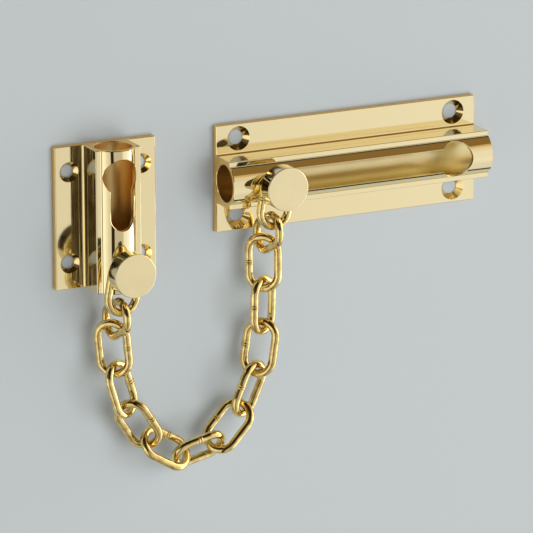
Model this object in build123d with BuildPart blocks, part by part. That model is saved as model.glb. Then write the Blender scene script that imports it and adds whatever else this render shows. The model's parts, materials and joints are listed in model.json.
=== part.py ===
"""Brass door chain: a keeper for the frame, a slotted plate for the door, and the chain between them.

Both brackets are cut from one extruded section: a flat back plate, a straight-sided box and a
round tube along its front. The keeper stands upright and has the keyhole that the chain's knob
is hung in when it is put away. The door bracket lies level and has the long slot that the knob
slides along, from its stop at the keeper's end to the round hole where it comes out.

Frame: millimetres, Z up, the wall is the plane Y = 0 and the object stands out towards -Y.
The origin is on the wall, at the middle of the door bracket's four screw holes.
"""
from build123d import *
from math import cos, degrees, hypot, radians, sin
import os

# Extruded section of both brackets, X across the plate and Y out from the wall
PLATE_WIDTH = 38.1
PLATE_THICK = 2.3
BOX_WIDTH = 17.0
BOX_DEPTH = 13.0
TUBE_RADIUS = 8.0
TUBE_WALL = 1.45
TUBE_CENTRE = 8.8
EDGE_ROUND = 0.35
ROOT_ROUND = 0.5
END_BREAK = 0.25
RIM_BREAK = 0.2
OVERCUT = 1.0

# Door bracket, lying level
DOOR_LENGTH = 101.6
SLOT_WIDTH = 8.3
SLOT_INSET = 16.2
RELEASE_INSET = 14.2
DOOR_SCREW_INSET = 8.7
DOOR_SCREW_HOLE = 5.1
DOOR_SCREW_HEAD = 8.7

# Keeper, standing upright on the frame beside the door bracket
KEEPER_HEIGHT = 50.8
PLATE_GAP = 23.25
KEEPER_TOP_DROP = 0.65
KEYHOLE_DROP = 9.6
KEYSLOT_WIDTH = 8.3
KEYSLOT_LENGTH = 14.6
ANCHOR_RISE = 8.7
KEEPER_SCREW_INSET = 9.2
KEEPER_SCREW_HOLE = 4.5
KEEPER_SCREW_HEAD = 7.1

# Round mouths that the stud's button goes in and out by: how much smaller than the bore they are, in radius
RELEASE_SHOULDER = 0.25
KEYHOLE_SHOULDER = 0.25

# Screw holes of both, measured across the plate
SCREW_ACROSS = 27.6
SCREW_ANGLE = 82

# Studs: a neck that carries the end link, and a flat-faced knob on its front
NECK_DIAMETER = 4.2
NECK_LENGTH = 3.4
KNOB_DIAMETER = 15.5
KNOB_THICK = 6.2
KNOB_FACE_EDGE = 0.3
KNOB_BACK_EDGE = 0.7
SPIGOT_DIAMETER = 3.2
SPIGOT_LENGTH = 4.0
RIVET_DIAMETER = 8.6
RIVET_THICK = 1.5
RIVET_ROUND = 0.9

# The sliding stud's collar runs in the slot and its button in the bore
COLLAR_CLEARANCE = 0.2
STOP_GAP = 0.05
BUTTON_PASSAGE = 0.3
BUTTON_RIM = 2.0
BUTTON_CONE = 1.7
BUTTON_CLEARANCE = 0.35

# Oval links of round wire, and the clearances where they hook into each other
WIRE_DIAMETER = 2.9
LINK_LENGTH = 21.6
LINK_WIDTH = 13.4
LINK_GAP = 0.4
NECK_GAP = 0.4
OPEN_GAP = 0.6
WELD_RISE = 0.18
WELD_RIDGE = 1.0
WELD_OFFSET = 0.45

# How the chain hangs: turn of each link from hanging straight down, from the keeper's stud to the
# sliding one, and the turn of its plane about its own length. Links 2 and 13 lean back to the wall.
# The hook below link 7 is looser, because there the two halves of the chain meet as they swing.
LINK_TILTS = (-11, 2, 5, 16, 32, 59, 103, 138, 157, 172, 179, 181, 181, 171)
LINK_ROLLS = (0, 90, -42, 30, -40, 36, -34, 44, -28, 44, -28, 40, 90, 0)
LEAN = 65
LEAN_LINKS = {1: 1, len(LINK_TILTS) - 2: -1}
OPEN_HOOK = 6
SETTLING_STEPS = 40

# Where a leaning link hooks, as shares of a link's inner width: back to the wall and down
HOOK_AT_NECK = (0.138, 0.914)
HOOK_BELOW = (0.046, 0.776)

# Sizes that follow
bore_radius = TUBE_RADIUS - TUBE_WALL
release_radius = bore_radius - RELEASE_SHOULDER
keyhole_radius = bore_radius - KEYHOLE_SHOULDER
button_radius = release_radius - BUTTON_PASSAGE
tube_front = TUBE_CENTRE + TUBE_RADIUS
knob_back = tube_front + NECK_LENGTH
link_level = tube_front + NECK_LENGTH / 2
collar_radius = SLOT_WIDTH / 2 - COLLAR_CLEARANCE
slot_end_x = -DOOR_LENGTH / 2 + SLOT_INSET
release_x = DOOR_LENGTH / 2 - RELEASE_INSET
slider_x = slot_end_x - COLLAR_CLEARANCE + STOP_GAP
keeper_x = -DOOR_LENGTH / 2 - PLATE_GAP - PLATE_WIDTH / 2
keeper_top = PLATE_WIDTH / 2 - KEEPER_TOP_DROP
keeper_z = keeper_top - KEEPER_HEIGHT / 2
anchor_z = keeper_z - KEEPER_HEIGHT / 2 + ANCHOR_RISE
bend_radius = (LINK_WIDTH - WIRE_DIAMETER) / 2
leg_length = LINK_LENGTH - LINK_WIDTH
inner_width = LINK_WIDTH - 2 * WIRE_DIAMETER

os.makedirs("parts", exist_ok=True)
written = []


def keep(piece, label):
    """Name a finished piece and write its file."""
    piece.part.label = label
    export_step(piece.part, f"parts/{label}.step")
    written.append(label)


def bracket_section():
    """Section of the extrusion, with the bore open from end to end."""
    with BuildSketch(Plane.XY, mode=Mode.PRIVATE) as section:
        Rectangle(PLATE_WIDTH, PLATE_THICK, align=(Align.CENTER, Align.MIN))
        Rectangle(BOX_WIDTH, BOX_DEPTH, align=(Align.CENTER, Align.MIN))
        half_way_out = (BOX_WIDTH + PLATE_WIDTH) / 4
        half_way_up = (BOX_DEPTH + PLATE_THICK) / 2
        plate_corners = section.vertices().filter_by(lambda corner: abs(corner.X) > half_way_out)
        box_corners = section.vertices().filter_by(lambda corner: corner.Y > half_way_up)
        fillet(plate_corners.sort_by(Axis.Y)[2:] + box_corners, EDGE_ROUND)
        roots = section.vertices().filter_by(
            lambda corner: abs(corner.X) < half_way_out and PLATE_THICK / 2 < corner.Y < half_way_up)
        fillet(roots.sort_by(Axis.Y)[:2], ROOT_ROUND)
        with Locations((0, TUBE_CENTRE)):
            Circle(TUBE_RADIUS)
            Circle(bore_radius, mode=Mode.SUBTRACT)
    return section.sketch


def break_ends(ends):
    """Edges of an extrusion's cut ends that are broken: all but those on the wall."""
    edges = [edge for end in ends for edge in end.edges()]
    return [edge for edge in edges if abs(edge.position_at(0.5).Y) > PLATE_THICK / 4]


def outer_rims(edges, across):
    """Edges of a cut that lie on the tube's outside; across is how far a point is beside the tube's axis."""
    middles = [(edge, edge.position_at(0.5)) for edge in edges]
    return [edge for edge, point in middles
            if hypot(across(point), point.Y + TUBE_CENTRE) > TUBE_RADIUS - TUBE_WALL / 2]


def knob():
    """Flat-faced knob of a stud, turned about Z, its back at Z = 0 with the socket for the spigot."""
    with BuildPart(mode=Mode.PRIVATE) as turned:
        with BuildSketch(Plane.XY):
            Circle(KNOB_DIAMETER / 2)
        extrude(amount=KNOB_THICK)
        rims = turned.edges().filter_by(GeomType.CIRCLE).sort_by(Axis.Z)
        fillet(rims[-1], KNOB_FACE_EDGE)
        fillet(rims[0], KNOB_BACK_EDGE)
        with Locations(Plane.XY.rotated((180, 0, 0))):
            Hole(SPIGOT_DIAMETER / 2, depth=SPIGOT_LENGTH)
    return turned.part


def oval_link():
    """One link: its long axis along X, flat in the XY plane, welded half way along one leg."""
    wire_radius = WIRE_DIAMETER / 2
    with BuildPart(mode=Mode.PRIVATE) as link:
        with BuildSketch(Plane.YZ.offset(-leg_length / 2)):
            with Locations((-bend_radius, 0), (bend_radius, 0)):
                Circle(wire_radius)
        extrude(amount=leg_length)
        for end in (1, -1):
            with BuildSketch(Plane.YZ.offset(end * leg_length / 2)):
                with Locations((bend_radius, 0)):
                    Circle(wire_radius)
            revolve(axis=Axis((end * leg_length / 2, 0, 0), (0, 0, 1)), revolution_arc=-180 * end)
        for side in (1, -1):
            middle = side * WELD_OFFSET
            foot = bend_radius + wire_radius - WELD_RISE / 2
            with BuildSketch(Plane.XY):
                with BuildLine():
                    start, stop = (middle - WELD_RIDGE / 2, foot), (middle + WELD_RIDGE / 2, foot)
                    ThreePointArc(start, (middle, bend_radius + wire_radius + WELD_RISE), stop)
                    Polyline(stop, (stop[0], bend_radius), (start[0], bend_radius), start)
                make_face()
            revolve(axis=Axis((0, bend_radius, 0), (1, 0, 0)))
    return link.part


def link_directions(index, tilt):
    """Directions along a link, in the wall's plane across it, and square to the link's own plane."""
    turn, roll = radians(tilt), radians(LINK_ROLLS[index])
    lean = radians(LEAN) * LEAN_LINKS.get(index, 0)
    down = Vector(sin(turn), 0, -cos(turn))
    across = Vector(cos(turn), 0, sin(turn))
    front = Vector(0, -1, 0)
    along = down * cos(lean) - front * sin(lean)
    face = front * cos(lean) + down * sin(lean)
    return along, across, face * cos(roll) + across * sin(roll)


def hook(index, along, next_along):
    """Step from the centre of a link's lower bend to the centre of the next one's upper bend."""
    last = len(LINK_TILTS) - 2
    for place, shares, way in ((0, HOOK_AT_NECK, 1), (1, HOOK_BELOW, 1),
                               (last - 1, HOOK_BELOW, -1), (last, HOOK_AT_NECK, -1)):
        if index == place:
            return Vector(0, shares[0], -shares[1]) * inner_width * way
    between = (along + next_along).normalized()
    bend = radians(along.get_angle(next_along))
    gap = OPEN_GAP if index == OPEN_HOOK else LINK_GAP
    return between * (inner_width - gap) * cos(bend)


def hang(tilts):
    """Centres of each link's two bends, from the keeper's stud on, and the point for the last neck."""
    frames = [link_directions(index, tilt) for index, tilt in enumerate(tilts)]
    neck_reach = (inner_width - NECK_DIAMETER) / 2 - NECK_GAP
    upper = Vector(keeper_x, -link_level, anchor_z) + frames[0][0] * neck_reach
    bends = []
    for index, (along, _, _) in enumerate(frames):
        lower = upper + along * leg_length
        bends.append((upper, lower))
        if index + 1 < len(frames):
            upper = lower + hook(index, along, frames[index + 1][0])
    return frames, bends, lower + frames[-1][0] * neck_reach


def settled_tilts():
    """The tilts, each turned by the least that brings the last link to the sliding stud."""
    tilts = list(LINK_TILTS)
    pitch = leg_length + inner_width
    for _ in range(SETTLING_STEPS):
        neck = hang(tilts)[2]
        miss_x, miss_z = slider_x - neck.X, -neck.Z
        rows = [(cos(radians(tilt)), sin(radians(tilt))) for tilt in tilts]
        xx, xz, zz = (sum(a * a for a, _ in rows), sum(a * b for a, b in rows), sum(b * b for _, b in rows))
        share = 1 / (pitch * (xx * zz - xz * xz))
        push_x, push_z = share * (zz * miss_x - xz * miss_z), share * (xx * miss_z - xz * miss_x)
        tilts = [tilt + degrees(a * push_x + b * push_z) for tilt, (a, b) in zip(tilts, rows)]
    return tilts


# Door bracket: the section runs along X, then the slot, the release hole and the screw holes
with BuildPart() as door_bracket:
    with BuildSketch(Plane(origin=(-DOOR_LENGTH / 2, 0, 0), x_dir=(0, 0, 1), z_dir=(1, 0, 0))):
        add(bracket_section())
    extrude(amount=DOOR_LENGTH)
    door_ends = door_bracket.faces().sort_by(Axis.X)
    chamfer(break_ends((door_ends[0], door_ends[-1])), END_BREAK)
    with BuildSketch(Plane.XZ.offset(TUBE_CENTRE)):
        with Locations((release_x, 0)):
            Circle(release_radius)
        with Locations(((slot_end_x + release_x) / 2, 0)):
            SlotCenterToCenter(release_x - slot_end_x, SLOT_WIDTH)
    extrude(amount=TUBE_RADIUS + OVERCUT, mode=Mode.SUBTRACT)
    chamfer(outer_rims(door_bracket.edges(Select.LAST), lambda point: point.Z), RIM_BREAK)
    with Locations(Plane.XZ.offset(PLATE_THICK)):
        with GridLocations(DOOR_LENGTH - 2 * DOOR_SCREW_INSET, SCREW_ACROSS, 2, 2):
            CounterSinkHole(DOOR_SCREW_HOLE / 2, DOOR_SCREW_HEAD / 2, counter_sink_angle=SCREW_ANGLE)
keep(door_bracket, "door_bracket")

# Keeper: the same section upright, with the keyhole and the hole that its stud is riveted in
with BuildPart() as keeper_bracket:
    keeper_foot = (keeper_x, 0, keeper_z - KEEPER_HEIGHT / 2)
    with BuildSketch(Plane(origin=keeper_foot, x_dir=(-1, 0, 0), z_dir=(0, 0, 1))):
        add(bracket_section())
    extrude(amount=KEEPER_HEIGHT)
    keeper_ends = keeper_bracket.faces().sort_by(Axis.Z)
    chamfer(break_ends((keeper_ends[0], keeper_ends[-1])), END_BREAK)
    keyhole_z = keeper_top - KEYHOLE_DROP
    with BuildSketch(Plane.XZ.offset(TUBE_CENTRE)):
        with Locations((keeper_x, keyhole_z)):
            Circle(keyhole_radius)
        with Locations((keeper_x, keyhole_z - KEYSLOT_LENGTH / 2)):
            SlotCenterToCenter(KEYSLOT_LENGTH, KEYSLOT_WIDTH, rotation=90)
    extrude(amount=TUBE_RADIUS + OVERCUT, mode=Mode.SUBTRACT)
    chamfer(outer_rims(keeper_bracket.edges(Select.LAST), lambda point: point.X - keeper_x), RIM_BREAK)
    with BuildSketch(Plane.XZ.offset(TUBE_CENTRE)):
        with Locations((keeper_x, anchor_z)):
            Circle(NECK_DIAMETER / 2)
    extrude(amount=TUBE_RADIUS + OVERCUT, mode=Mode.SUBTRACT)
    with Locations(Plane(origin=(keeper_x, -PLATE_THICK, keeper_z), x_dir=(1, 0, 0), z_dir=(0, -1, 0))):
        with GridLocations(SCREW_ACROSS, KEEPER_HEIGHT - 2 * KEEPER_SCREW_INSET, 2, 2):
            CounterSinkHole(KEEPER_SCREW_HOLE / 2, KEEPER_SCREW_HEAD / 2, counter_sink_angle=SCREW_ANGLE)
keep(keeper_bracket, "keeper_bracket")

# Fixed stud of the keeper: a neck through the tube's front wall, headed over inside the bore
with BuildPart() as anchor_stud:
    rivet_front = TUBE_CENTRE + (bore_radius ** 2 - (RIVET_DIAMETER / 2) ** 2) ** 0.5
    with BuildSketch(Plane.XZ.offset(rivet_front)):
        with Locations((keeper_x, anchor_z)):
            Circle(NECK_DIAMETER / 2)
    extrude(amount=knob_back - rivet_front)
    with BuildSketch(Plane.XZ.offset(rivet_front - RIVET_THICK)):
        with Locations((keeper_x, anchor_z)):
            Circle(RIVET_DIAMETER / 2)
    extrude(amount=RIVET_THICK)
    fillet(anchor_stud.edges().filter_by(GeomType.CIRCLE).sort_by(Axis.Y)[-1], RIVET_ROUND)
    with BuildSketch(Plane.XZ.offset(knob_back)):
        with Locations((keeper_x, anchor_z)):
            Circle(SPIGOT_DIAMETER / 2)
    extrude(amount=SPIGOT_LENGTH)
keep(anchor_stud, "anchor_stud")

# Sliding stud: button in the bore, collar in the slot, neck for the last link and spigot
with BuildPart() as slider_stud:
    with BuildSketch(Plane(origin=(slider_x, 0, 0))):
        rim_front = TUBE_CENTRE + (bore_radius ** 2 - button_radius ** 2) ** 0.5 - BUTTON_CLEARANCE
        cone_front = rim_front + BUTTON_CONE
        button_back = rim_front - BUTTON_RIM
        spigot_front = knob_back + SPIGOT_LENGTH
        with BuildLine():
            Polyline((0, -button_back), (button_radius, -button_back), (button_radius, -rim_front),
                     (collar_radius, -cone_front), (collar_radius, -tube_front),
                     (NECK_DIAMETER / 2, -tube_front), (NECK_DIAMETER / 2, -knob_back),
                     (SPIGOT_DIAMETER / 2, -knob_back), (SPIGOT_DIAMETER / 2, -spigot_front),
                     (0, -spigot_front), close=True)
        make_face()
    revolve(axis=Axis((slider_x, 0, 0), (0, 1, 0)))
keep(slider_stud, "slider_stud")

# A knob on each stud
for label, stud_x, stud_z in (("anchor_knob", keeper_x, anchor_z), ("slider_knob", slider_x, 0)):
    with BuildPart() as stud_knob:
        with Locations(Plane(origin=(stud_x, -knob_back, stud_z), x_dir=(1, 0, 0), z_dir=(0, -1, 0))):
            add(knob())
    keep(stud_knob, label)

# The chain, link by link from the keeper's stud to the sliding one
one_link = oval_link()
tilts = settled_tilts()
frames, bends, _ = hang(tilts)
for index, ((along, _, square), (upper, lower)) in enumerate(zip(frames, bends)):
    with BuildPart() as chain_link:
        with Locations(Plane(origin=(upper + lower) / 2, x_dir=along, z_dir=square)):
            add(one_link)
    keep(chain_link, f"chain_link_{index + 1:02d}")

# Hinge points for the joints: half way between the bends that hook into each other
print(f"travel {release_x - slider_x:.4f} slider {slider_x:.4f} anchor {keeper_x:.4f} {anchor_z:.4f}")
for index, (upper, lower) in enumerate(bends):
    hinge = (bends[index - 1][1] + upper) / 2 if index else Vector(keeper_x, -link_level, anchor_z)
    print(f"link {index + 1:2d} tilt {tilts[index]:8.3f} hinge {hinge.X:9.4f} {hinge.Y:9.4f} {hinge.Z:9.4f}")
print(len(written), "pieces")
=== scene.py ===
"""Finishes, wall, light and camera for a polished brass door chain."""
import json
import math

import bpy
from bpy.props import FloatProperty, FloatVectorProperty, PointerProperty
from bpy.types import Operator, Panel, PropertyGroup
from mathutils import Matrix, Vector


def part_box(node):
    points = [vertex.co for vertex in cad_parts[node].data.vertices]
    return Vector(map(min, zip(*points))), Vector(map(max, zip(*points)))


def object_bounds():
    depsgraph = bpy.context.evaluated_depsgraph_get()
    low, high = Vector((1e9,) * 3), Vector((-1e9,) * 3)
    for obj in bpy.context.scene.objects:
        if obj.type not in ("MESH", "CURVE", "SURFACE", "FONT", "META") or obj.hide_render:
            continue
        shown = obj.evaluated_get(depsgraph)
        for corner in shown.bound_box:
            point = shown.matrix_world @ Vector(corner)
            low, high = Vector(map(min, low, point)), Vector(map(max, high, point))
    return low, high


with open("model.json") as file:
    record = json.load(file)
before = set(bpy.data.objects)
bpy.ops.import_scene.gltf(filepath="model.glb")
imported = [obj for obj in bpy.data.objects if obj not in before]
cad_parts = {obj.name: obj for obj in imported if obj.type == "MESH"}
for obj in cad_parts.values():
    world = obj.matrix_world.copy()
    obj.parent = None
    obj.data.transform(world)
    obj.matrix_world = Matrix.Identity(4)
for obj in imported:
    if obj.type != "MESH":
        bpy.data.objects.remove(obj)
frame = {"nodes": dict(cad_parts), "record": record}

bl_info = {
    "name": "Door Chain",
    "version": (1, 0, 0),
    "blender": (4, 5, 0),
    "location": "3D View > Sidebar > Door Chain",
    "description": "Polished brass finishes, wall, light and camera for a door chain",
    "category": "Material",
}

CAD_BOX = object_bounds()
MM = 0.001

# Each bracket, and the axis that its section is extruded along
BRACKETS = {"door_bracket": 0, "keeper_bracket": 2}
STUDS = ("anchor_stud", "slider_stud")
KNOBS = ("anchor_knob", "slider_knob")
LINKS = tuple(sorted(name for name in frame["nodes"] if name.startswith("chain_link_")))

# The extruded section of both brackets, as the frame has it
TUBE_RADIUS = 8.0 * MM
TUBE_WALL = 1.45 * MM
BOX_HALF = 8.5 * MM
BORE_AXIS_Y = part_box("door_bracket")[0].y + TUBE_RADIUS
# Half the width of the countersinks at the plates' front
SINK_RADIUS = {"door_bracket": 4.35 * MM, "keeper_bracket": 3.55 * MM}

# The dark line of painted shade beside each tube: how far round from its front, half its width, and its
# darkest share
CORNER_SHADE_ANGLE = math.radians(54)
CORNER_SHADE_WIDTH = 0.16 * MM
CORNER_SHADE_CORE = 0.75
# Along the door bracket, from where to where its bore turns from sawn to rubbed
RUBBED_FROM = (-42.0 * MM, -38.0 * MM)
# How far from its edge each finish begins to fade, and how far from it the fade ends
BORE_FADE = (0.03 * MM, 0.12 * MM)
SIDE_FADE = (0.1 * MM, 0.25 * MM)
CUT_FADE = (0.12 * MM, 0.04 * MM)
SINK_FADE = 0.12 * MM
# Leaves out how far a place is from the wall
FLAT = (1.0, 0.0, 1.0)

# Scales of the noise, in waves to the metre
POLISH_SMEAR = 140.0
WIRE_SMEAR = 420.0
WALL_STIPPLE = 900.0
WIRE_GRAIN = 3000.0
KNOB_GRAIN = 4000.0
# Depths of the grain and the stipple
WIRE_GRAIN_DEPTH = 0.0008 * MM
KNOB_GRAIN_DEPTH = 0.0003 * MM
STIPPLE_DEPTH = 0.03 * MM
# Along the extrusion the noise of its lines is drawn out to this share of its scale
LINE_STRETCH = 0.02
# Between which values of its noise each finish changes
POLISH_TONE = (0.35, 0.7)
POLISH_GLOSS = (0.3, 0.75)
SCUFF_MARKS = (0.5, 0.7)
WIRE_TONE = (0.32, 0.66)
WIRE_GLOSS = (0.3, 0.7)
# Darkest tone of each finish, as a share of its colour
BRACKET_DARK = 0.8
BORE_DARK = 0.82
SAWN_DARK = 0.8
KNOB_DARK = 0.96
# Least share of the full colour on a bracket, and how much of a wire's tone is that piece's own
LEAST_TONE = 0.96
OWN_TONE = 0.25
# How many times its setting a roughness comes to, and so the depth of the lines inside the bores
BRACKET_ROUGHEST = 1.8
KNOB_SMOOTHEST = 1.4
KNOB_ROUGHEST = 2.4
WIRE_ROUGHEST = 1.7
BORE_LINE_DEPTH = 4

# Where the studio changes, in degrees to the right of straight out from the wall
LEFT_FADE = (-84, -42)
GAP_START = (-39, -36.5)
LEFT_TO_FRONT = (-24, -21)
GAP_END = (-23.5, -21)
FRONT_TO_RIGHT = (15, 33)
WARM_TO_PLAIN = (19, 31)
RIGHT_LIFT = (36, 56)
KEY_EDGE = (58, 72)
# Where it changes, in degrees above the object's level
FLOOR_EDGE = (-82, -79)
LOW_FADE = (-70, -15)
KEY_FOOT = (-56, -44)
BEYOND_LOW = (-50, -40)
SHADE_FOOT = (2, 12)
HIGH_TINT_RISE = (8, 26)
TOP_TINT_RISE = (26, 40)
CEILING_EDGE = (40, 43)
# What stays of the left panel beside the gap and of all panels low down, and what the right one gains
LEFT_FADED = 0.58
LOW_FADED = 0.66
RIGHT_GAIN = 0.15
# How far right the shade high on the left ends, as a share of the way
SHADE_END = (0.22, 0.34)
# How far out from the wall the dark beyond it ends, and how much further out it comes low down
BEYOND_END = (-0.02, 0.06)
BEYOND_FORWARD = 0.1
WHITE = (1.0, 1.0, 1.0, 1.0)
BLACK = (0.0, 0.0, 0.0, 1.0)
BEYOND = (0.01, 0.01, 0.01, 1.0)
SEEN_BACKGROUND = (0.58, 0.61, 0.61, 1.0)

# The camera's sensor in millimetres, and how near and far it sees in metres
SENSOR_WIDTH = 36.0
CLIP_START = 0.1
CLIP_END = 20.0


def middle(node):
    """Middle of a CAD node's box."""
    low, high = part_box(node)
    return (low + high) / 2


class BrassSettings(PropertyGroup):
    """Colours and surface of the brass."""

    polished: FloatVectorProperty(
        name="Polished brass", description="Colour of the polished brackets and knobs",
        subtype="COLOR", min=0, max=1, default=(0.92, 0.80, 0.49))
    wire: FloatVectorProperty(
        name="Chain brass", description="Colour of the polished wire",
        subtype="COLOR", min=0, max=1, default=(0.98, 0.81, 0.37))
    wire_dull: FloatVectorProperty(
        name="Dull chain brass", description="Colour of the wire where it is less polished",
        subtype="COLOR", min=0, max=1, default=(0.64, 0.44, 0.16))
    bore: FloatVectorProperty(
        name="Bore brass", description="Colour of the bores, which are left as drawn",
        subtype="COLOR", min=0, max=1, default=(0.97, 0.82, 0.45))
    # Painted shade: near-black colour of the dark line painted in the corners beside the tubes
    corner: FloatVectorProperty(
        name="Corner brass", description="Colour of the dull line in the corners beside the tubes",
        subtype="COLOR", min=0, max=1, default=(0.05, 0.035, 0.018))
    cut_end: FloatVectorProperty(
        name="Cut ends", description="Colour of the brackets' cut ends and plate edges",
        subtype="COLOR", min=0, max=1, default=(0.97, 0.68, 0.26))
    countersunk: FloatVectorProperty(
        name="Countersunk brass", description="Colour in the countersinks",
        subtype="COLOR", min=0, max=1, default=(0.88, 0.70, 0.36))
    sawn: FloatVectorProperty(
        name="Sawn brass", subtype="COLOR", min=0, max=1, default=(0.90, 0.63, 0.28),
        description="Duller, redder colour where the bores were cut and not polished")
    polish_roughness: FloatProperty(
        name="Polish", description="Roughness of the polished faces", min=0, max=1, default=0.05)
    wire_roughness: FloatProperty(
        name="Wire polish", description="Roughness of the chain and the studs",
        min=0, max=1, default=0.03)
    bore_roughness: FloatProperty(
        name="Bore roughness", description="Added roughness inside the bores",
        min=0, max=1, default=0.25)
    end_roughness: FloatProperty(
        name="Cut end roughness", description="Added roughness on the cut ends and plate edges",
        min=0, max=1, default=0.5)
    sawn_roughness: FloatProperty(
        name="Sawn roughness", description="Added roughness where the brass was cut and not polished",
        min=0, max=1, default=0.3)
    die_line_width: FloatProperty(
        name="Die line width", description="Width of the fine lines along the extrusion",
        subtype="DISTANCE", unit="LENGTH", default=0.22 * MM)
    die_line_depth: FloatProperty(
        name="Die line depth", description="Depth of the fine lines along the extrusion",
        subtype="DISTANCE", unit="LENGTH", precision=6, default=0.0011 * MM)
    drag_width: FloatProperty(
        name="Drag width", description="Width of the coarser lines on the sides of the box",
        subtype="DISTANCE", unit="LENGTH", default=0.8 * MM)
    drag_depth: FloatProperty(
        name="Drag depth", description="Depth of the coarser lines on the sides of the box",
        subtype="DISTANCE", unit="LENGTH", precision=6, default=0.0085 * MM)
    drag_roughness: FloatProperty(
        name="Drag roughness", description="Added roughness along the lines on the sides of the box",
        min=0, max=1, default=0.24)
    dent_size: FloatProperty(
        name="Dent size", description="Size of the shallow dents that tumbling leaves on the wire",
        subtype="DISTANCE", unit="LENGTH", default=2.2 * MM)
    dent_depth: FloatProperty(
        name="Dent depth", description="Depth of the dents on the wire",
        subtype="DISTANCE", unit="LENGTH", precision=6, default=0.024 * MM)
    ripple_size: FloatProperty(
        name="Ripple size", description="Size of the shallow waves left by hand polishing",
        subtype="DISTANCE", unit="LENGTH", default=5.0 * MM)
    ripple_depth: FloatProperty(
        name="Ripple depth", description="Depth of the shallow waves left by hand polishing",
        subtype="DISTANCE", unit="LENGTH", precision=6, default=0.0025 * MM)


class WallSettings(PropertyGroup):
    """The painted wall behind the object."""

    colour: FloatVectorProperty(
        name="Wall colour", description="Pale blue-grey paint",
        subtype="COLOR", min=0, max=1, default=(0.376, 0.399, 0.409))
    size: FloatProperty(
        name="Wall size", description="Width and height of the wall",
        subtype="DISTANCE", unit="LENGTH", default=0.9)
    air: FloatProperty(
        name="Wall gap", description="How far behind the plates' backs the wall stands",
        subtype="DISTANCE", unit="LENGTH", precision=6, default=0.05 * MM)
    lamp_power: FloatProperty(
        name="Lamp power", description="Power of the soft lamp that lights the wall",
        subtype="POWER", default=18.5)
    lamp_colour: FloatVectorProperty(
        name="Lamp colour", description="Colour of the soft lamp that lights the wall",
        subtype="COLOR", min=0, max=1, default=(0.93, 0.98, 1.0))
    lamp_size: FloatProperty(
        name="Lamp size", description="Width of the wall's lamp, for soft shadows",
        subtype="DISTANCE", unit="LENGTH", default=1.4)
    lamp_distance: FloatProperty(
        name="Lamp distance", description="From the wall's lamp to the object",
        subtype="DISTANCE", unit="LENGTH", default=1.2)
    lamp_turn: FloatProperty(
        name="Lamp turn", description="How far right of square-on the wall's lamp stands",
        subtype="ANGLE", unit="ROTATION", default=math.radians(12))
    lamp_drop: FloatProperty(
        name="Lamp drop", description="How far below the object's level the wall's lamp stands",
        subtype="ANGLE", unit="ROTATION", default=math.radians(2))


class StudioSettings(PropertyGroup):
    """Brightness of the studio, as the polished brass sees it."""

    left: FloatProperty(name="Left panel", description="Brightness at the far left", default=1.25)
    dark_gap: FloatVectorProperty(
        name="Dark gap", description="Colour of the gap beside the camera", subtype="COLOR",
        min=0, max=1, default=(0.030, 0.018, 0.006))
    front: FloatProperty(
        name="Front", description="Brightness just right of the camera", default=0.56)
    right: FloatProperty(
        name="Right panel", description="Brightness of the panel at the right", default=0.96)
    key: FloatProperty(
        name="Key", description="Brightness of the key light at the far right", default=2.6)
    warm_tint: FloatVectorProperty(
        name="Warm tint", description="Tint of everything left of the right-hand panel",
        subtype="COLOR", min=0, max=1, default=(1.0, 0.97, 0.88))
    high_tint: FloatVectorProperty(
        name="High tint", description="Tint of the panels above the object", subtype="COLOR",
        min=0, max=1, default=(0.90, 0.80, 0.62))
    top_tint: FloatVectorProperty(
        name="Top tint", description="Further tint of the panels' tops, below the ceiling",
        subtype="COLOR", min=0, max=1, default=(0.67, 0.57, 0.36))
    high_shade: FloatProperty(
        name="High shade", min=0, max=1, default=0.88,
        description="How dark the studio is high on the left, where the chain alone mirrors it")
    ceiling: FloatVectorProperty(
        name="Ceiling", description="Dim warm colour overhead", subtype="COLOR", min=0, max=1,
        default=(0.25, 0.155, 0.055))


class CameraSettings(PropertyGroup):
    """Where the photograph was taken from."""

    azimuth: FloatProperty(
        name="Azimuth", description="How far left of square-on the camera stands",
        subtype="ANGLE", unit="ROTATION", default=math.radians(26.23))
    elevation: FloatProperty(
        name="Elevation", description="How far above the object the camera stands",
        subtype="ANGLE", unit="ROTATION", default=math.radians(15.23))
    roll: FloatProperty(
        name="Roll", description="Turn of the camera about its view line",
        subtype="ANGLE", unit="ROTATION", default=math.radians(0.25))
    distance: FloatProperty(
        name="Distance", description="From the camera to the point on the wall that it aims at",
        subtype="DISTANCE", unit="LENGTH", default=2.096)
    lens: FloatProperty(name="Lens", description="Focal length in millimetres", default=403.6)
    aim_x: FloatProperty(
        name="Aim X", description="Across, where the view line meets the wall",
        subtype="DISTANCE", unit="LENGTH", default=-30.34 * MM)
    aim_z: FloatProperty(
        name="Aim Z", description="Up, where the view line meets the wall",
        subtype="DISTANCE", unit="LENGTH", default=-34.39 * MM)


class DoorChainSettings(PropertyGroup):
    """All settings of the door chain's scene."""

    brass: PointerProperty(type=BrassSettings)
    wall: PointerProperty(type=WallSettings)
    studio: PointerProperty(type=StudioSettings)
    camera: PointerProperty(type=CameraSettings)


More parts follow.
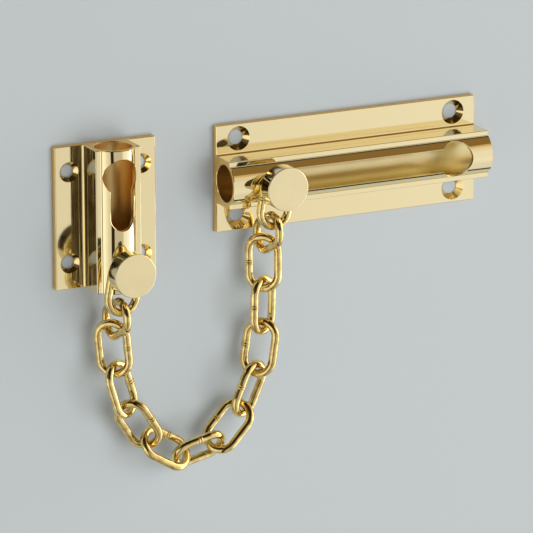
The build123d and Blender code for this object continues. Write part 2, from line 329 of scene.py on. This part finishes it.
class Shading:
    """A node tree being wired: adds nodes, sets their sockets and links them."""

    def __init__(self, tree):
        self.tree = tree
        tree.nodes.clear()

    def add(self, kind, inputs=None, **settings):
        """A new node. A value in inputs is a number, a colour or another node's output."""
        node = self.tree.nodes.new(kind)
        for name, value in settings.items():
            setattr(node, name, value)
        for key, value in (inputs or {}).items():
            if isinstance(value, bpy.types.NodeSocket):
                self.tree.links.new(value, node.inputs[key])
            else:
                node.inputs[key].default_value = value
        return node

    def math(self, operation, *values):
        """Result of a Math node."""
        return self.add("ShaderNodeMath", dict(enumerate(values)), operation=operation).outputs[0]

    def vector(self, operation, *values):
        """Vector result of a Vector Math node."""
        return self.add("ShaderNodeVectorMath", dict(enumerate(values)), operation=operation).outputs[0]

    def length(self, vector):
        """Length of a vector."""
        return self.add("ShaderNodeVectorMath", {0: vector}, operation="LENGTH").outputs["Value"]

    def ramp(self, value, low, high, start=0.0, end=1.0):
        """start below low, end above high, and smooth between."""
        inputs = {"Value": value, "From Min": low, "From Max": high, "To Min": start, "To Max": end}
        return self.add("ShaderNodeMapRange", inputs, interpolation_type="SMOOTHSTEP").outputs[0]

    def step(self, angle, span, start=0.0, end=1.0):
        """A ramp between the two angles of a span in degrees."""
        low, high = span
        return self.ramp(angle, math.radians(low), math.radians(high), start, end)

    def bump(self, height, distance, normal=None):
        """Normal of a surface with marks this deep, over an earlier bump where one is given."""
        inputs = {"Height": height, "Distance": distance}
        if normal is not None:
            inputs["Normal"] = normal
        return self.add("ShaderNodeBump", inputs).outputs[0]

    def mix(self, factor, first, second):
        """Colour between two colours."""
        node = self.add("ShaderNodeMix", data_type="RGBA")
        for socket, value in (("Factor_Float", factor), ("A_Color", first), ("B_Color", second)):
            target = next(item for item in node.inputs if item.identifier == socket)
            if isinstance(value, bpy.types.NodeSocket):
                self.tree.links.new(value, target)
            else:
                target.default_value = value
        return next(item for item in node.outputs if item.identifier == "Result_Color")

    def noise(self, vector, scale, detail):
        """Smooth noise from 0 to 1."""
        inputs = {"Vector": vector, "Scale": scale, "Detail": detail}
        return self.add("ShaderNodeTexNoise", inputs).outputs["Fac"]


def rgba(colour, share=1.0):
    """A colour property, or a darker share of it, with full alpha."""
    return (*(channel * share for channel in colour), 1.0)


def new_material(name):
    """An empty node material and its wiring."""
    material = bpy.data.materials.new(name)
    material.use_nodes = True
    return material, Shading(material.node_tree)


def finish_brass(shading, colour, roughness, normal):
    """The shader of a brass surface, wired to the material's output."""
    inputs = {"Base Color": colour, "Roughness": roughness, "Normal": normal, "Metallic": 1.0}
    shader = shading.add("ShaderNodeBsdfPrincipled", inputs)
    shading.add("ShaderNodeOutputMaterial", {"Surface": shader.outputs[0]})


def hand_polish(shading, place, brass):
    """Bump of the shallow waves that buffing leaves, and slow changes of tone and gloss."""
    ripple = shading.noise(place, 1 / brass.ripple_size, detail=1.0)
    smear = shading.noise(place, POLISH_SMEAR, detail=4.0)
    return shading.bump(ripple, brass.ripple_depth), smear


def screw_places(node):
    """Middle of the four screw holes of a bracket, and half their spacing across and up."""
    at = {"door_bracket": "door_screws", "keeper_bracket": "keeper_screws"}[node]
    mount = next(item for item in frame["record"]["mounts"] if item["name"] == at)
    dims = mount["dims"]
    return mount["pos_m"], dims["spacing_x_mm"] * MM / 2, dims["spacing_y_mm"] * MM / 2


def box_side(shading, sideways):
    """1 on the flat sides of the box, given how far a point is beside the tube's axis."""
    begins, ends = SIDE_FADE
    inner = shading.ramp(sideways, BOX_HALF - ends, BOX_HALF - begins)
    outer = shading.ramp(sideways, BOX_HALF + begins, BOX_HALF + ends, 1.0, 0.0)
    return shading.math("MULTIPLY", inner, outer)


def painted_corner_shade(shading, sideways, depth):
    """1 in the narrow corner between the tube and the box's front, where a dark line of shade is painted.
    """
    out = shading.math("ADD", depth, TUBE_RADIUS * math.cos(CORNER_SHADE_ANGLE) - BORE_AXIS_Y)
    aside = shading.math("SUBTRACT", sideways, TUBE_RADIUS * math.sin(CORNER_SHADE_ANGLE))
    squares = [shading.math("MULTIPLY", part, part) for part in (out, aside)]
    apart = shading.math("SQRT", shading.math("ADD", *squares))
    return shading.ramp(apart, CORNER_SHADE_CORE * CORNER_SHADE_WIDTH, CORNER_SHADE_WIDTH, 1.0, 0.0)


def countersinks(shading, place, node):
    """1 in the countersinks of a bracket's four screw holes."""
    centre, half_across, half_up = screw_places(node)
    folded = shading.vector("ABSOLUTE", shading.vector("SUBTRACT", place, centre))
    from_hole = shading.vector("SUBTRACT", folded, (half_across, 0.0, half_up))
    away = shading.length(shading.vector("MULTIPLY", from_hole, FLAT))
    return shading.ramp(away, SINK_RADIUS[node] - SINK_FADE, SINK_RADIUS[node], 1.0, 0.0)


def cut_edges(shading, parts, node):
    """1 on the cut faces all round a bracket: the ends of the extrusion and the edges of its plate."""
    low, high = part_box(node)
    begins, ends = CUT_FADE
    masks = []
    for index, axis in ((0, "X"), (2, "Z")):
        half = (high[index] - low[index]) / 2
        aside = shading.math("SUBTRACT", parts[axis], middle(node)[index])
        masks.append(shading.ramp(shading.math("ABSOLUTE", aside), half - begins, half - ends))
    return shading.math("MAXIMUM", *masks)


def sawn_bore(shading, parts, node, inside):
    """1 where the bore stays as it was cut: in all of the keeper, and at the door bracket's left end."""
    if node == "keeper_bracket":
        return inside
    return shading.math("MULTIPLY", inside, shading.ramp(parts["X"], *RUBBED_FROM, 1.0, 0.0))


def bracket_lines(shading, place, brass, along, inside, side):
    """Noise of an extrusion's fine lines, of the drags on its sides and of its smears, and their bump."""
    stretch = [LINE_STRETCH if axis == along else 1.0 for axis in range(3)]
    drawn_out = shading.vector("MULTIPLY", place, stretch)
    streaks = shading.noise(drawn_out, 1 / brass.die_line_width, detail=3.0)
    drags = shading.noise(drawn_out, 1 / brass.drag_width, detail=2.0)
    waves, smear = hand_polish(shading, place, brass)
    depth = shading.ramp(inside, 0.0, 1.0, brass.die_line_depth, brass.die_line_depth * BORE_LINE_DEPTH)
    lines = shading.bump(streaks, depth, waves)
    lines = shading.bump(drags, shading.math("MULTIPLY", side, brass.drag_depth), lines)
    return streaks, drags, smear, lines


def bracket_brass(brass, node, along):
    """Polished extrusion: fine lines along its length, and a bore that is left as drawn."""
    material, shading = new_material(f"polished_{node}")
    place = shading.add("ShaderNodeTexCoord").outputs["Object"]
    parts = shading.add("ShaderNodeSeparateXYZ", {0: place}).outputs
    across = [0.0 if axis == along else 1.0 for axis in range(3)]
    axis_point = middle(node)
    axis_point.y = BORE_AXIS_Y
    from_axis = shading.vector("MULTIPLY", shading.vector("SUBTRACT", place, axis_point), across)
    sideways = shading.length(shading.vector("MULTIPLY", from_axis, FLAT))
    begins, ends = (TUBE_RADIUS - TUBE_WALL + fade for fade in BORE_FADE)
    inside = shading.ramp(shading.length(from_axis), begins, ends, 1.0, 0.0)
    sawn = sawn_bore(shading, parts, node, inside)
    edges = cut_edges(shading, parts, node)
    side = box_side(shading, sideways)
    streaks, drags, smear, normal = bracket_lines(shading, place, brass, along, inside, side)

    tone = shading.ramp(smear, *POLISH_TONE, LEAST_TONE, 1.0)
    polished = shading.mix(tone, rgba(brass.polished, BRACKET_DARK), rgba(brass.polished))
    drawn = shading.mix(streaks, rgba(brass.bore, BORE_DARK), rgba(brass.bore))
    cut = shading.mix(streaks, rgba(brass.sawn, SAWN_DARK), rgba(brass.sawn))
    colour = shading.mix(sawn, shading.mix(inside, polished, drawn), cut)
    colour = shading.mix(countersinks(shading, place, node), colour, rgba(brass.countersunk))
    colour = shading.mix(edges, colour, rgba(brass.cut_end))
    # Painted shade: a near-black line in the corner between each tube and the box's front
    colour = shading.mix(painted_corner_shade(shading, sideways, parts["Y"]), colour, rgba(brass.corner))

    smooth = brass.polish_roughness
    gloss = shading.ramp(smear, *POLISH_GLOSS, smooth, smooth * BRACKET_ROUGHEST)
    added = shading.math("MULTIPLY", side, shading.ramp(drags, *SCUFF_MARKS, 0.0, brass.drag_roughness))
    for mask, roughness in ((inside, brass.bore_roughness), (sawn, brass.sawn_roughness),
                            (edges, brass.end_roughness)):
        added = shading.math("MAXIMUM", added, shading.math("MULTIPLY", mask, roughness))
    finish_brass(shading, colour, shading.math("ADD", gloss, added), normal)
    return material


def knob_brass(brass):
    """Buffed knob: flat and clean, with a faint fine grain."""
    material, shading = new_material("buffed_knob")
    place = shading.add("ShaderNodeTexCoord").outputs["Object"]
    waves, smear = hand_polish(shading, place, brass)
    grain = shading.noise(place, KNOB_GRAIN, detail=2.0)
    normal = shading.bump(grain, KNOB_GRAIN_DEPTH, waves)
    tone = shading.ramp(smear, *POLISH_GLOSS)
    colour = shading.mix(tone, rgba(brass.polished, KNOB_DARK), rgba(brass.polished))
    smooth, rough = brass.polish_roughness * KNOB_SMOOTHEST, brass.polish_roughness * KNOB_ROUGHEST
    finish_brass(shading, colour, shading.ramp(smear, *POLISH_GLOSS, smooth, rough), normal)
    return material


def wire_brass(brass, name):
    """Tumbled wire and studs: small dents, and a tone that differs a little from piece to piece."""
    material, shading = new_material(name)
    place = shading.add("ShaderNodeTexCoord").outputs["Object"]
    own = shading.add("ShaderNodeObjectInfo").outputs["Random"]
    dents = shading.noise(place, 1 / brass.dent_size, detail=2.0)
    grain = shading.noise(place, WIRE_GRAIN, detail=3.0)
    normal = shading.bump(grain, WIRE_GRAIN_DEPTH, shading.bump(dents, brass.dent_depth))
    smear = shading.noise(place, WIRE_SMEAR, detail=4.0)
    shared_tone = shading.ramp(smear, *WIRE_TONE, 0.0, 1.0 - OWN_TONE)
    tone = shading.math("ADD", shared_tone, shading.math("MULTIPLY", own, OWN_TONE))
    colour = shading.mix(tone, rgba(brass.wire_dull), rgba(brass.wire))
    smooth = brass.wire_roughness
    rough = shading.ramp(smear, *WIRE_GLOSS, smooth, smooth * WIRE_ROUGHEST)
    finish_brass(shading, colour, rough, normal)
    return material


def dress(nodes, material):
    """Give CAD nodes a material."""
    for name in nodes:
        slots = frame["nodes"][name].data.materials
        slots.clear()
        slots.append(material)


class DOORCHAIN_OT_polish_brackets(Operator):
    """Polish the door bracket and the keeper, with their bores left as drawn"""

    bl_idname = "door_chain.polish_brackets"
    bl_label = "Polish brackets"

    def execute(self, context):
        brass = context.scene.door_chain.brass
        for node, along in BRACKETS.items():
            dress([node], bracket_brass(brass, node, along))
        return {"FINISHED"}


class DOORCHAIN_OT_finish_studs(Operator):
    """Give the two studs their turned brass"""

    bl_idname = "door_chain.finish_studs"
    bl_label = "Finish studs"

    def execute(self, context):
        dress(STUDS, wire_brass(context.scene.door_chain.brass, "turned_stud"))
        return {"FINISHED"}


class DOORCHAIN_OT_buff_knobs(Operator):
    """Buff the two round knobs"""

    bl_idname = "door_chain.buff_knobs"
    bl_label = "Buff knobs"

    def execute(self, context):
        dress(KNOBS, knob_brass(context.scene.door_chain.brass))
        return {"FINISHED"}


class DOORCHAIN_OT_polish_chain(Operator):
    """Give each link its polished wire"""

    bl_idname = "door_chain.polish_chain"
    bl_label = "Polish chain"

    def execute(self, context):
        dress(LINKS, wire_brass(context.scene.door_chain.brass, "polished_wire"))
        return {"FINISHED"}


class DOORCHAIN_OT_hang_wall(Operator):
    """Put the painted wall behind the plates, open to look through from behind"""

    bl_idname = "door_chain.hang_wall"
    bl_label = "Hang wall"

    def execute(self, context):
        wall = context.scene.door_chain.wall
        low, high = CAD_BOX
        centre = (low + high) / 2
        half = wall.size / 2
        corners = [(centre.x + x * half, wall.air, centre.z + z * half)
                   for x, z in ((-1, -1), (1, -1), (1, 1), (-1, 1))]
        mesh = bpy.data.meshes.new("wall")
        mesh.from_pydata(corners, [], [(0, 1, 2, 3)])
        sheet = bpy.data.objects.new("wall", mesh)
        context.scene.collection.objects.link(sheet)
        material, shading = new_material("wall_paint")
        place = shading.add("ShaderNodeTexCoord").outputs["Object"]
        stipple = shading.noise(place, WALL_STIPPLE, detail=4.0)
        paint = shading.add("ShaderNodeBsdfPrincipled", {
            "Base Color": rgba(wall.colour), "Roughness": 0.8, "Specular IOR Level": 0.2,
            "Normal": shading.bump(stipple, STIPPLE_DEPTH)})
        clear = shading.add("ShaderNodeBsdfTransparent")
        behind = shading.add("ShaderNodeNewGeometry").outputs["Backfacing"]
        both = shading.add("ShaderNodeMixShader", {0: behind, 1: paint.outputs[0], 2: clear.outputs[0]})
        shading.add("ShaderNodeOutputMaterial", {"Surface": both.outputs[0]})
        mesh.materials.append(material)
        return {"FINISHED"}


class DOORCHAIN_OT_light_wall(Operator):
    """Light the wall from the right with one soft lamp that the brass doesn't mirror"""

    bl_idname = "door_chain.light_wall"
    bl_label = "Light wall"

    def execute(self, context):
        wall = context.scene.door_chain.wall
        turn, drop = wall.lamp_turn, wall.lamp_drop
        low, high = CAD_BOX
        towards = Vector((math.sin(turn) * math.cos(drop), -math.cos(turn) * math.cos(drop),
                          -math.sin(drop)))
        data = bpy.data.lights.new("wall_lamp", "AREA")
        data.shape = "DISK"
        data.size = wall.lamp_size
        data.energy = wall.lamp_power
        data.color = wall.lamp_colour
        lamp = bpy.data.objects.new("wall_lamp", data)
        place = Matrix.Translation((low + high) / 2 + towards * wall.lamp_distance)
        lamp.matrix_world = place @ towards.to_track_quat("Z", "Y").to_matrix().to_4x4()
        lamp.visible_glossy = False
        context.scene.collection.objects.link(lamp)
        return {"FINISHED"}


class DOORCHAIN_OT_light_studio(Operator):
    """Light the studio with soft panels all round the front and a dim ceiling"""

    bl_idname = "door_chain.light_studio"
    bl_label = "Light studio"

    def execute(self, context):
        studio = context.scene.door_chain.studio
        world = bpy.data.worlds.new("studio")
        context.scene.world = world
        world.use_nodes = True
        shading = Shading(world.node_tree)
        aim = shading.add("ShaderNodeTexCoord").outputs["Generated"]
        parts = shading.add("ShaderNodeSeparateXYZ", {0: aim}).outputs
        forward = shading.math("MULTIPLY", parts["Y"], -1.0)
        turn = shading.math("ARCTAN2", parts["X"], forward)
        height = shading.math("ARCSINE", parts["Z"])
        colour = self.panels(shading, studio, turn, height)
        colour = self.surroundings(shading, studio, colour, parts["X"], forward, height)
        background = shading.add("ShaderNodeBackground", {"Color": colour, "Strength": 1.0})
        seen = shading.add("ShaderNodeBackground", {"Color": SEEN_BACKGROUND, "Strength": 1.0})
        camera_ray = shading.add("ShaderNodeLightPath").outputs["Is Camera Ray"]
        both = shading.add("ShaderNodeMixShader", {
            0: camera_ray, 1: background.outputs[0], 2: seen.outputs[0]})
        shading.add("ShaderNodeOutputWorld", {"Surface": both.outputs[0]})
        return {"FINISHED"}

    def level(self, shading, studio, turn, height):
        """Brightness of the panels, from the far left round to the key light at the far right."""
        left = shading.step(turn, LEFT_FADE, studio.left, studio.left * LEFT_FADED)
        right = shading.step(turn, FRONT_TO_RIGHT, studio.front, studio.right)
        key = shading.math("MULTIPLY", shading.step(turn, KEY_EDGE, 0.0, studio.key - studio.right),
                           shading.step(height, KEY_FOOT))
        gain = shading.step(turn, RIGHT_LIFT, 0.0, RIGHT_GAIN)
        right = shading.math("ADD", shading.math("ADD", right, key), gain)
        side = shading.step(turn, LEFT_TO_FRONT)
        left = shading.math("MULTIPLY", left, shading.math("SUBTRACT", 1.0, side))
        level = shading.math("ADD", left, shading.math("MULTIPLY", right, side))
        gap = shading.math("MULTIPLY", shading.step(turn, GAP_START),
                           shading.step(turn, GAP_END, 1.0, 0.0))
        level = shading.math("MULTIPLY", level, shading.math("SUBTRACT", 1.0, gap))
        level = shading.math("MULTIPLY", level, shading.step(height, LOW_FADE, LOW_FADED, 1.0))
        return shading.math("MULTIPLY", level, shading.step(height, FLOOR_EDGE))

    def panels(self, shading, studio, turn, height):
        """Colour of the panels with their tints, and of the dark gap beside the camera."""
        level = self.level(shading, studio, turn, height)
        panels = shading.add("ShaderNodeCombineXYZ", {"X": level, "Y": level, "Z": level}).outputs[0]
        warmth = shading.step(turn, WARM_TO_PLAIN, 1.0, 0.0)
        high = shading.step(height, HIGH_TINT_RISE)
        top = shading.step(height, TOP_TINT_RISE)
        tints = ((warmth, studio.warm_tint), (high, studio.high_tint), (top, studio.top_tint))
        for share, tint in tints:
            panels = shading.vector("MULTIPLY", panels, shading.mix(share, WHITE, rgba(tint)))
        return shading.vector("ADD", panels, studio.dark_gap)

    def surroundings(self, shading, studio, panels, across, forward, height):
        """Add the dim ceiling, the shade high on the left and the dark beyond the wall."""
        colour = shading.mix(shading.step(height, CEILING_EDGE), panels, rgba(studio.ceiling))
        upper_left = shading.math("MULTIPLY", shading.ramp(across, *SHADE_END, 1.0, 0.0),
                                  shading.step(height, SHADE_FOOT))
        colour = shading.mix(shading.math("MULTIPLY", upper_left, studio.high_shade), colour, BLACK)
        ahead = shading.math("SUBTRACT", forward, shading.step(height, BEYOND_LOW, BEYOND_FORWARD, 0.0))
        return shading.mix(shading.ramp(ahead, *BEYOND_END), BEYOND, colour)


class DOORCHAIN_OT_place_camera(Operator):
    """Put the camera where the photograph was taken from"""

    bl_idname = "door_chain.place_camera"
    bl_label = "Place camera"

    def execute(self, context):
        settings = context.scene.door_chain.camera
        turn, rise = settings.azimuth, settings.elevation
        view = Vector((math.sin(turn) * math.cos(rise), math.cos(turn) * math.cos(rise),
                       -math.sin(rise)))
        data = bpy.data.cameras.new("camera")
        data.sensor_width = SENSOR_WIDTH
        data.lens = settings.lens
        data.clip_start = CLIP_START
        data.clip_end = CLIP_END
        camera = bpy.data.objects.new("camera", data)
        context.scene.collection.objects.link(camera)
        aim = Vector((settings.aim_x, 0, settings.aim_z))
        place = Matrix.Translation(aim - view * settings.distance)
        facing = view.to_track_quat("-Z", "Y").to_matrix().to_4x4()
        camera.matrix_world = place @ facing @ Matrix.Rotation(-settings.roll, 4, "Z")
        context.scene.camera = camera
        return {"FINISHED"}


class DOORCHAIN_PT_panel(Panel):
    """Sidebar panel with every step and its settings"""

    bl_idname = "DOORCHAIN_PT_panel"
    bl_label = "Door Chain"
    bl_space_type = "VIEW_3D"
    bl_region_type = "UI"
    bl_category = "Door Chain"

    def draw(self, context):
        settings = context.scene.door_chain
        for operator in STEPS:
            self.layout.operator(operator.bl_idname)
        for group in (settings.brass, settings.wall, settings.studio, settings.camera):
            box = self.layout.box()
            for name in group.__annotations__:
                box.prop(group, name)


STEPS = (
    DOORCHAIN_OT_polish_brackets,
    DOORCHAIN_OT_finish_studs,
    DOORCHAIN_OT_buff_knobs,
    DOORCHAIN_OT_polish_chain,
    DOORCHAIN_OT_hang_wall,
    DOORCHAIN_OT_light_wall,
    DOORCHAIN_OT_light_studio,
    DOORCHAIN_OT_place_camera,
)
GROUPS = (BrassSettings, WallSettings, StudioSettings, CameraSettings, DoorChainSettings)


def register():
    """Register the settings, the operators and the panel."""
    for item in (*GROUPS, *STEPS, DOORCHAIN_PT_panel):
        bpy.utils.register_class(item)
    bpy.types.Scene.door_chain = PointerProperty(type=DoorChainSettings)


def unregister():
    """Take away everything that register added."""
    del bpy.types.Scene.door_chain
    for item in (DOORCHAIN_PT_panel, *reversed(STEPS), *reversed(GROUPS)):
        bpy.utils.unregister_class(item)


def main():
    """Register, set the Standard view transform and run every step in order."""
    register()
    bpy.context.scene.view_settings.view_transform = "Standard"
    for operator in STEPS:
        group, name = operator.bl_idname.split(".")
        getattr(getattr(bpy.ops, group), name)()


if __name__ == "__main__":
    main()
